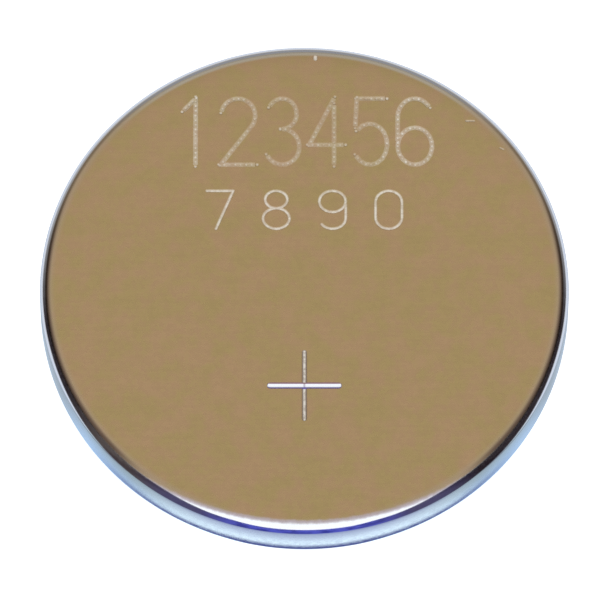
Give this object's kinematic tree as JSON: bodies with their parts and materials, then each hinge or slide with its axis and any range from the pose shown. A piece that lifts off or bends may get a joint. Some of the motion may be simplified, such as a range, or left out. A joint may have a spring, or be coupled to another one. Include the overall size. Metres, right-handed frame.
{
  "type": "lithium coin cell",
  "caption": "Round flat coin cell: a steel can with its positive face up is crimped over a moulded seal and a stepped steel cap, with the cell's electrodes stacked inside.",
  "frame": {"origin": "centre of the negative face, on the surface that the cell lies on", "axes": "+Z along the cell's axis, from the negative face to the positive face; X and Y across the disc, with the marks on the positive face read from -Y"},
  "size_m": [0.023, 0.023, 0.003],
  "materials": {
    "can_nickel": "satin nickel-plated steel, warm on the flat face",
    "cap_nickel": "satin nickel-plated steel",
    "seal_polymer": "moulded, matt",
    "collector_steel": "pressed sheet",
    "pellet_oxide": "pressed powder, matt",
    "separator_fleece": "fine white fleece",
    "lithium_foil": "soft rolled metal"
  },
  "bodies": {
    "root": {"positive_can": "can_nickel", "negative_cap": "cap_nickel", "seal_ring": "seal_polymer", "collector_ring": "collector_steel", "cathode_pellet": "pellet_oxide", "separator": "separator_fleece", "lithium_disc": "lithium_foil"}
  },
  "joints": []
}
